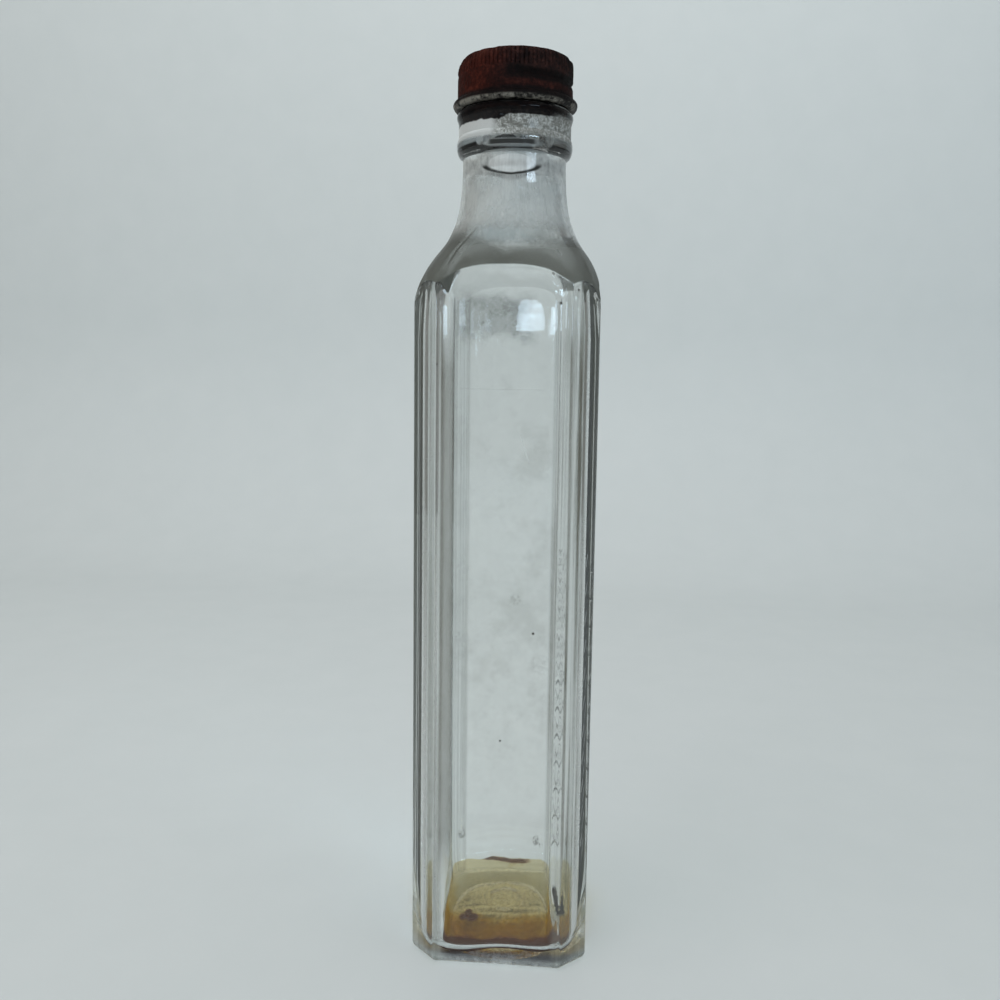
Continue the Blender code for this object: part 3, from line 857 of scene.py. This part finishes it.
def glass_finish():
    f = Finish("old_clear_glass")
    x, y, z = f.axes()
    inside = f.attribute("inside")
    above = f.attribute("above_arch")
    outside = 1.0 - inside
    ripple = f.noise(45.0, 1.5, 0.5)
    fine_ripple = f.noise(260.0, 2.0, 0.5)
    grain = f.noise(2600.0, 4.0, 0.6)
    speck = f.noise(1100.0, 5.0, 0.7)
    cloud = f.noise(170.0, 3.0, 0.6)
    streak = f.noise(700.0, 4.0, 0.6, stretch=(1.0, 1.0, 0.16))
    threads = f.noise(620.0, 4.0, 0.65, stretch=(1.0, 1.0, 0.012))
    patches = f.noise(75.0, 4.0, 0.65)
    spots = speck.step(0.36, 0.62)
    blots = (speck * 0.5 + grain * 0.5).step(0.44, 0.60)
    front = (0.002 - y).step(0.0, 0.010)
    at_front = (-0.018 - y).step(0.0, 0.001)
    mottle = (streak * 0.55 + cloud * 0.45).step(0.36, 0.64)
    smear = (cloud * 0.6 + speck * 0.4).step(0.42, 0.62)

    # Dust in the neck; a painted highlight where the foot of the bore shows through, with painted shade on
    # its lower rim and on the ledge inside
    neck = between(z, *NECK_DUST_UP, 0.003) * (mottle * 0.42 + 0.30)
    neck_skin = between(z, *NECK_SKIN_UP, 0.0008) * (mottle * 0.26 + 0.20)
    neck_skin = neck_skin + between(z, *NECK_SMEAR_UP, 0.0006) * (smear * 0.2 + 0.08)
    lens_x = (x - LENS_MIDDLE[0]) / LENS_HALF[0]
    lens_z = (z + (cloud - 0.5) * 0.0006 - LENS_MIDDLE[1]) / LENS_HALF[1]
    lens_far = (lens_x * lens_x + lens_z * lens_z).math("SQRT")
    lens = (1.0 - lens_far.step(0.86, 1.0)) * front
    lens_rim_shade = between(lens_far, 0.97, 1.22, 0.08) * (1.0 - lens_z.step(-0.35, 0.25)) * front
    ledge_shade = between(z, *LEDGE_SHADE_UP, 0.0003)
    bore = between(z, *BORE_UP, 0.0003)

    # Painted shade over the shoulder: a grey film down to its arches and up to a ragged edge
    sideways = (x * -0.45).most(x * 0.2)
    fade = (z + (cloud - 0.5) * 0.005 - sideways).step(*SHOULDER_FADE)
    shoulder = above.step(-0.1, 0.3) * (1.0 - fade) * (front * 0.85 + 0.15)

    # The finish: painted shade of the cap's dark underside just below the cap, a pale band, speckled at the
    # right
    right = (x + (cloud - 0.5) * 0.008).step(*BAND_SPECKLED_FROM)
    rough_x = x + (speck - 0.5) * 0.002
    rough_z = z + (cloud - 0.5) * 0.0024 + (speck - 0.5) * 0.0006
    cap_shade_z = rough_z - rough_x.step(-0.003, 0.0) * CAP_SHADE_STEP
    cap_shade = between(cap_shade_z, *CAP_SHADE_UP, 0.0002) * (1.0 - x.step(*CAP_SHADE_END) * 0.7)
    band = between(z, *BAND_UP, 0.0004)
    # painted shade on the lower bead's front
    low_bead_shade = between(z, *LOW_BEAD_SHADE_UP, 0.0002) * between(x, *LOW_BEAD_SHADE_ACROSS, 0.001) * front
    foot = 1.0 - z.step(0.0002, 0.0028)

    # Painted shade down the corners as smoky grey and green strips, cloudy patches on the front panel
    left_strip = between(x, *LEFT_STRIP, 0.0004)
    left_edge = between(x, *LEFT_EDGE, 0.0004) * 0.35
    right_strip = between(x, *RIGHT_STRIP, 0.0006) * (threads.step(0.40, 0.62) * 0.9 + 0.1)
    edge_strip = (x.size() + y.size()).step(0.0362, 0.0380)
    near_strip = between(x, *NEAR_STRIP, 0.0005) * (threads.step(0.42, 0.58) * 0.7 + 0.15)
    right_strip = right_strip + near_strip + between(x, *RIGHT_LINE, 0.0002) * 0.7
    under_arch = between(z, *STRIPS_UP, 0.010)
    strips = (left_strip + left_edge + right_strip) * outside
    strips = strips * (y * -1.0).step(0.010, 0.014) * under_arch
    edges = outside * edge_strip * (1.0 - above.step(-1.0, 0.0))
    edges = edges * (threads.step(0.36, 0.64) * 0.8 + 0.4)
    patch = between(z + (cloud - 0.5) * 0.006, *PATCH_UP, 0.002) * between(x, *PATCH_ACROSS, 0.003)
    patch = patch * inside * front
    haze = f.any_near(HAZES) * spots * at_front
    # a scratch, painted pale for the highlight it catches
    line_x = (z * -1.0 + SCRATCH_TOP[1]) * SCRATCH_LEAN + SCRATCH_TOP[0]
    scratch_glint = (1.0 - (x - line_x).size().step(0.00004, 0.00018)) * between(z, *SCRATCH_UP, 0.0005)
    crease = between(z + (cloud - 0.5) * 0.0004, *FINE_LINE_UP, 0.00012)
    crease = crease * between(x, *FINE_LINE_ACROSS, 0.002)
    seeds = f.any_near(SEEDS) * outside
    # dark brown slanting marks inside the front wall, low down at the right
    low_dark_marks = between(x + (z - LOW_MARK_MIDDLE) * LOW_MARK_LEAN + (speck - 0.5) * 0.0012, *LOW_MARK_ACROSS, 0.00012)
    low_dark_marks = low_dark_marks * between(z, *LOW_MARK_UP, 0.0008) * (-0.012 - y).step(0.0, 0.001) * inside
    far = f.any_near(FAR_SPOTS) * inside * (cloud * 0.5 + speck * 0.5).step(0.42, 0.5)

    # Dust round the heel, made pale as painted light as well, mist on the front panel, and how dull each
    # place is
    corner = (x.size() + y.size()).step(0.0330, 0.0375)
    heel_dust_and_light = (1.0 - z.step(0.0018, 0.0036)) * outside * (mottle * 0.35 + 0.08) * (1.0 - corner * 0.75)
    mist = patches.step(0.46, 0.66) * between(z, *MIST_UP, 0.01) * between(x, *MIST_ACROSS, 0.0015)
    mist = mist * outside * at_front
    dull = inside * (neck + ledge_shade * 0.7 + bore * 0.5 + (smear * 0.05 + 0.012) * z.step(0.012, 0.030))
    dull = dull + patch * (smear * 0.22 + 0.34)
    deep_edge = 1.0 - above.step(1.0, 7.5)
    # the share of painted shoulder shade, fuller near the arches
    shoulder_shade = shoulder * (cloud * 0.3 + deep_edge * 0.24 + 0.56)
    dull = dull + outside * (shoulder_shade + foot * (spots * 0.4 + 0.12))
    # the lens: a painted highlight, with painted shade on its rim
    lens_light_and_shade = lens * (mottle * 0.25 + 0.50) + lens_rim_shade * 0.5
    dull = dull + outside * (neck_skin * (1.0 - lens) + lens_light_and_shade)
    dull = dull + outside * (band * (right * spots * 0.2 + 0.7) + low_bead_shade * 0.92 + 0.006)
    dull = dull + strips * (streak * 0.2 + 0.36) + edges * (streak * 0.2 + 0.2) + heel_dust_and_light
    dull = dull + outside * at_front * (haze * 0.22 + scratch_glint * 0.3 + crease * 0.13)
    dull = dull + mist * (speck * 0.16 + 0.04)
    glass = f.surface(
        Base_Color=f.blend(cloud, (0.97, 0.985, 0.975), (0.985, 0.992, 0.985)),
        Roughness=dull * 0.12 + 0.006,
        IOR=1.5,
        Transmission_Weight=1.0,
        Normal=f.bump(ripple + fine_ripple * 0.12, 0.0004, 0.06),
    )

    # Colours of the dust and film, of the painted light and shade, and the marks that cover the glass
    pale = f.blend(grain, (0.50, 0.52, 0.51), (0.76, 0.78, 0.76))
    grey_film_and_shade = f.blend(grain, (0.085, 0.09, 0.078), (0.13, 0.135, 0.12))
    smoky_film_and_shade = f.blend(grain, (0.075, 0.068, 0.042), (0.135, 0.122, 0.086))
    green_edge_shade = f.blend(grain, (0.20, 0.21, 0.17), (0.30, 0.31, 0.27))
    dirty = f.blend(grain, (0.13, 0.13, 0.115), (0.36, 0.36, 0.33))
    speckled = f.blend(blots * (smear * 0.6 + 0.25), dirty, pale)
    # pale tone for the band's dust and for the painted highlights
    pale_dust_and_highlight = f.blend(grain, (0.76, 0.78, 0.77), (0.90, 0.92, 0.91))
    # the band's foot gets a darker tone: painted shade against the light it takes from the floor
    off_foot_shade = z.step(0.2086, 0.2104) + (1.0 - z.step(0.2055, 0.2065))
    pale_dust_and_highlight = f.blend(off_foot_shade, (0.62, 0.64, 0.63), pale_dust_and_highlight)
    # the grey tone goes to the painted shoulder shade and to the patch
    low = (outside * above.step(-0.5, 0.0) * (1.0 - z.step(*GREY_TONE_FADE))).most(patch)
    # green-grey painted shade on the corners, and a smoky tone on the strips and the mist
    tone = f.blend(edges, f.blend(low, pale, grey_film_and_shade), green_edge_shade)
    tone = f.blend((strips + mist).least(1.0), tone, smoky_film_and_shade)
    # the pale tone for the painted highlights: the lens, the scratch and the heel
    tone = f.blend((lens + scratch_glint * at_front + heel_dust_and_light * 1.6).least(1.0), tone, pale_dust_and_highlight)
    tone = f.blend(outside * z.step(0.2075, 0.2085), tone, f.blend(right, pale_dust_and_highlight, speckled))
    # painted shade: the ledge inside, the strip on the lower bead and the lens's rim
    painted_dark_lines = inside * ledge_shade + outside * (low_bead_shade + lens_rim_shade)
    tone = f.blend(painted_dark_lines.least(1.0), tone, (0.03, 0.03, 0.028))
    # the film carries dust and also the painted light and shade
    dust_and_painted_light = f.mix(dull, glass, f.surface(Base_Color=tone, Roughness=0.9))
    # glossy black for the painted shade of the cap's underside
    painted_black = f.surface(
        Base_Color=f.blend(blots * 0.5, (0.001, 0.001, 0.002), (0.020, 0.010, 0.007)),
        Roughness=0.08,
        Specular_IOR_Level=0.10,
    )
    brown = f.surface(Base_Color=(0.020, 0.008, 0.003, 1.0), Roughness=0.5)
    marked = f.mix(outside * cap_shade * 0.97, dust_and_painted_light, painted_black)
    marked = f.mix((seeds * 0.9 + low_dark_marks + far * 0.6).least(1.0), marked, brown)
    shadow = f.node("ShaderNodeLightPath", {}, {}, "Is Shadow Ray")
    return f.close(f.mix(shadow, marked, f.clear((0.95, 0.96, 0.955))))


def rust_finish():
    f = Finish("dark_rust")
    x, y, z = f.axes()
    broad = f.noise(120.0, 4.0, 0.6, warp=0.4)
    fine = f.noise(1000.0, 6.0, 0.75)
    flakes = f.cells(900.0)
    # the left side warmer and lighter: painted light from the left, over the rust
    left = (x * -1.0 + broad * 0.012).step(0.004, 0.015)
    # painted shade: dark under the bead all round, and in the thread groove at the front right
    bead = 1.0 - z.step(*BEAD_SHADE_FADE)
    groove_shade = between(z + x * 0.035 + (broad - 0.5) * 0.003, *GROOVE_SHADE_UP, 0.0006)
    groove_shade = groove_shade * (x + 0.004).step(0.0, 0.006)
    crown = z.step(*CROWN_FADE)
    worn = 1.0 - (z + (fine - 0.5) * 0.0006).step(*WORN_RIM_FADE)
    worn = worn * (fine * 0.5 + broad * 0.5).step(0.40, 0.56)
    dark = f.ramp(
        broad * 0.45 + fine * 0.55,
        [
            (0.36, (0.003, 0.002, 0.002)),
            (0.49, (0.010, 0.005, 0.005)),
            (0.60, (0.044, 0.017, 0.014)),
            (0.74, (0.095, 0.058, 0.052)),
        ],
    )
    warm = f.ramp(
        broad * 0.4 + fine * 0.6,
        [
            (0.34, (0.008, 0.003, 0.002)),
            (0.50, (0.046, 0.008, 0.005)),
            (0.62, (0.095, 0.020, 0.011)),
            (0.76, (0.140, 0.062, 0.040)),
        ],
    )
    height = fine * 0.6 + broad * 0.3 + flakes * 0.25
    low_band = between(z + (broad - 0.5) * 0.001, *RUSTY_BAND_UP, 0.0004) * 0.4
    # warm rust on the rusty band, and painted light on the left
    warmth = left.most(low_band) * 0.9 * (1.0 - bead) * (1.0 - crown * 0.4)
    # how much painted black shade
    painted_black = (groove_shade * 0.85 + bead * 0.7).least(0.9)
    shade = f.blend(painted_black, f.blend(warmth, dark, warm), (0.003, 0.002, 0.002))
    bare_tin = f.blend(fine, (0.10, 0.09, 0.075), (0.42, 0.39, 0.34))
    shade = f.blend(worn * (0.005 - y).step(0.0, 0.012), shade, bare_tin)
    metal = f.surface(
        Base_Color=shade,
        Roughness=fine * 0.3 + 0.6 - bead * 0.25,
        Specular_IOR_Level=0.14,
        Normal=f.bump(height, 0.0006, 1.0),
    )
    return f.close(metal)


def residue_finish():
    f = Finish("amber_residue")
    x, y, z = f.axes()
    patch = f.noise(260.0, 4.0, 0.6)
    fine = f.noise(1500.0, 4.0, 0.6)
    forward = y * -1.0 + (patch - 0.5) * 0.005
    reach = x.size().most(y.size()) + (patch - 0.5) * 0.003
    amber = (forward + x.size() * 0.2).step(*AMBER_FROM)
    lip = (forward + x.size() * 0.12).step(*DARK_LIP_FROM)
    sides = reach.step(*SIDES_FROM) * forward.step(-0.014, -0.002)
    above_tide = (z + (patch - 0.5) * 0.0012).step(*CLEAR_ABOVE) * y.step(0.010, 0.014)
    tide = between(z + (patch - 0.5) * 0.0010, *TIDE_UP, 0.0002) * y.step(0.0145, 0.0155)
    tide = tide * between(x, *TIDE_ACROSS, 0.002)
    blots = (patch * 0.6 + fine * 0.4).step(0.55, 0.68)
    brown_spot = f.any_near(FILM_SPOTS)
    nothing = f.clear((1.0, 1.0, 1.0))
    faint = f.clear((0.90, 0.84, 0.68))
    golden = f.clear((0.74, 0.54, 0.08))
    deep = f.clear((0.36, 0.145, 0.02))
    yellow = amber * (patch * 0.8 + fine * 0.4 + 0.25) + sides * 0.5 + blots * 0.2
    tint = f.mix(yellow.least(1.0), faint, golden)
    orange = lip * (fine * 0.5 + 0.72) + tide * 0.6 + brown_spot * 0.55
    tint = f.mix(orange.least(1.0), tint, deep)
    tint = f.mix(above_tide, tint, nothing)
    crust = f.surface(
        Base_Color=f.ramp(
            lip * 0.7 + tide + brown_spot + fine * 0.2,
            [(0.15, (0.36, 0.21, 0.015)), (0.55, (0.16, 0.050, 0.004)), (1.0, (0.07, 0.018, 0.002))],
        ),
        Roughness=patch * 0.3 + 0.25,
        Normal=f.bump(patch, 0.0004, 0.6),
    )
    cover = lip * 0.34 + amber * (blots * 0.25 + fine * 0.15 + 0.03)
    cover = cover + tide * 0.4 + brown_spot * 0.5 + blots * 0.05
    return f.close(f.mix((cover * (1.0 - above_tide)).least(0.9), tint, crust))


def floor_finish():
    f = Finish("pale_floor")
    grain = f.noise(40.0, 3.0)
    shade = f.blend(grain, (0.66, 0.70, 0.70), (0.70, 0.735, 0.735))
    return f.close(f.surface(Base_Color=shade, Roughness=0.6))


def make_stage():
    """A pale floor that curves up into a pale backdrop behind the bottle."""
    straight = SWEEP_BACK - SWEEP_BEND
    profile = [(SWEEP_FRONT, 0.0), (straight, 0.0)]
    for k in range(1, SWEEP_STEPS):
        a = math.radians(90 * k / SWEEP_STEPS)
        profile.append((straight + SWEEP_BEND * math.sin(a), SWEEP_BEND - SWEEP_BEND * math.cos(a)))
    profile += [(SWEEP_BACK, SWEEP_BEND), (SWEEP_BACK, SWEEP_TALL)]
    bpy.ops.object.select_all(action="DESELECT")
    bpy.ops.mesh.primitive_grid_add(x_subdivisions=1, y_subdivisions=len(profile) - 1, size=1)
    sweep = bpy.context.object
    sweep.name = "pale_sweep"
    for k, vertex in enumerate(sweep.data.vertices):
        y, z = profile[k // 2]
        vertex.co = (SWEEP_HALF if k % 2 else -SWEEP_HALF, y, z)
    bpy.ops.object.shade_smooth()
    sweep.data.materials.append(floor_finish())


def add_light(name, place, aim, size, power, colour, tall=None, mirrored=True):
    data = bpy.data.lights.new(name, "AREA")
    data.shape = "RECTANGLE"
    data.size = size
    data.size_y = tall if tall else size
    data.energy = power
    data.color = colour
    light = bpy.data.objects.new(name, data)
    light.location = place
    light.rotation_euler = (Vector(aim) - Vector(place)).to_track_quat("-Z", "Y").to_euler()
    light.visible_camera = False
    light.visible_glossy = mirrored
    light.visible_transmission = mirrored
    bpy.context.collection.objects.link(light)


def make_lights():
    for name, place, aim, size, power, colour in SOFTBOXES:
        add_light(name, place, aim, size, power, colour, mirrored=False)
    x, y, foot = WINDOW_PLACE
    for wide, low, tall in WINDOW_PANES:
        place = (x, y, foot + low + tall / 2)
        power = WINDOW_POWER * wide * tall
        add_light("small_window", place, WINDOW_AIM, wide, power, WINDOW_BLUE, tall=tall)
    for name, place, wide in GLINTS:
        power = GLINT_POWER * wide * GLINT_TALL
        add_light(name, place, WINDOW_AIM, wide, power, WINDOW_BLUE, tall=GLINT_TALL)
    name, place, aim, wide, power, colour, tall = SIDE_WINDOW
    add_light(name, place, aim, wide, power, colour, tall=tall)
    world = bpy.data.worlds.new("room")
    world.use_nodes = True
    world.node_tree.nodes["Background"].inputs[0].default_value = ROOM_GREY
    bpy.context.scene.world = world


def make_camera():
    turn = Matrix.Rotation(CAMERA_TURN, 4, "Z")
    data = bpy.data.cameras.new("camera")
    data.lens = CAMERA_LENS
    camera = bpy.data.objects.new("camera", data)
    tilt = Matrix.Rotation(math.pi / 2 - CAMERA_DOWN, 4, "X")
    roll = Matrix.Rotation(CAMERA_ROLL, 4, "Z")
    place = Matrix.Translation((CAMERA_SIDE, -CAMERA_AWAY, CAMERA_HEIGHT))
    camera.matrix_world = turn @ place @ tilt @ roll
    bpy.context.collection.objects.link(camera)
    bpy.context.scene.camera = camera


make_camera()
make_stage()
make_lights()
make_bottle()
make_cap()
make_residue()
bpy.context.scene.view_settings.view_transform = "Standard"
